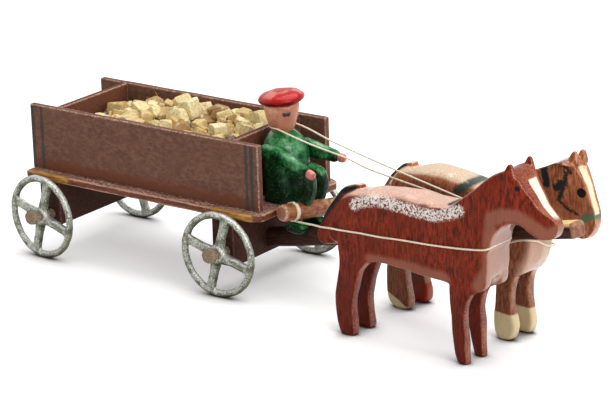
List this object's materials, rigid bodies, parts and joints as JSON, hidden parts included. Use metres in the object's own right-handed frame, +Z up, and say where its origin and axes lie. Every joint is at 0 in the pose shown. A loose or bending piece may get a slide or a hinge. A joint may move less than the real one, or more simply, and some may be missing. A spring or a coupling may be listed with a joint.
{
  "type": "toy horse-drawn wagon",
  "caption": "Small wooden toy: a board wagon with a heaped load, a peg driver in a red cap, and carved brown horses on a pole, with thread reins and traces.",
  "frame": {"origin": "on the floor, under the middle of the whole toy", "axes": "+X forward, towards the horses; +Y to the driver's left; +Z up"},
  "size_m": [0.188, 0.0554, 0.0558],
  "materials": {
    "stained_wood": "satin",
    "turned_wood": "satin",
    "peg_wood": "matte",
    "cast_metal": "matte",
    "ore_crumbs": "matte",
    "green_paint": "gloss",
    "skin_paint": "satin",
    "red_paint": "gloss",
    "chestnut_paint": "gloss",
    "bay_paint": "satin",
    "cotton_thread": "matte"
  },
  "bodies": {
    "root": {"right_rear_peg": "peg_wood", "right_front_peg": "peg_wood", "left_rear_peg": "peg_wood", "left_front_peg": "peg_wood", "floor_board": "stained_wood", "rear_bolster": "stained_wood", "front_bolster": "stained_wood", "pole": "stained_wood", "right_side_board": "stained_wood", "left_side_board": "stained_wood", "rear_end_board": "stained_wood", "front_end_board": "stained_wood", "swingletree": "turned_wood", "ore_load": "ore_crumbs", "driver_coat": "green_paint", "driver_head": "skin_paint", "driver_cap": "red_paint", "driver_right_arm": "green_paint", "driver_left_arm": "green_paint", "driver_right_leg": "green_paint", "driver_left_leg": "green_paint", "right_horse": "chestnut_paint", "left_horse": "bay_paint", "rein_thread": "cotton_thread", "trace_thread": "cotton_thread"},
    "right_rear_wheel": {"right_rear_wheel": "cast_metal"},
    "right_front_wheel": {"right_front_wheel": "cast_metal"},
    "left_rear_wheel": {"left_rear_wheel": "cast_metal"},
    "left_front_wheel": {"left_front_wheel": "cast_metal"}
  },
  "joints": [
    {"name": "right_rear_wheel_spin", "type": "hinge", "parent": "root", "child": "right_rear_wheel", "pos_m": [-0.08198, -0.01845, 0.012], "axis": [0.0872, 0.9962, 0], "continuous": true},
    {"name": "right_front_wheel_spin", "type": "hinge", "parent": "root", "child": "right_front_wheel", "pos_m": [-0.01898, -0.01845, 0.012], "axis": [-0.0244, 0.9997, 0], "continuous": true},
    {"name": "left_rear_wheel_spin", "type": "hinge", "parent": "root", "child": "left_rear_wheel", "pos_m": [-0.08198, 0.02355, 0.012], "axis": [0, 1, 0], "continuous": true},
    {"name": "left_front_wheel_spin", "type": "hinge", "parent": "root", "child": "left_front_wheel", "pos_m": [-0.01898, 0.02355, 0.012], "axis": [0, 1, 0], "continuous": true}
  ]
}
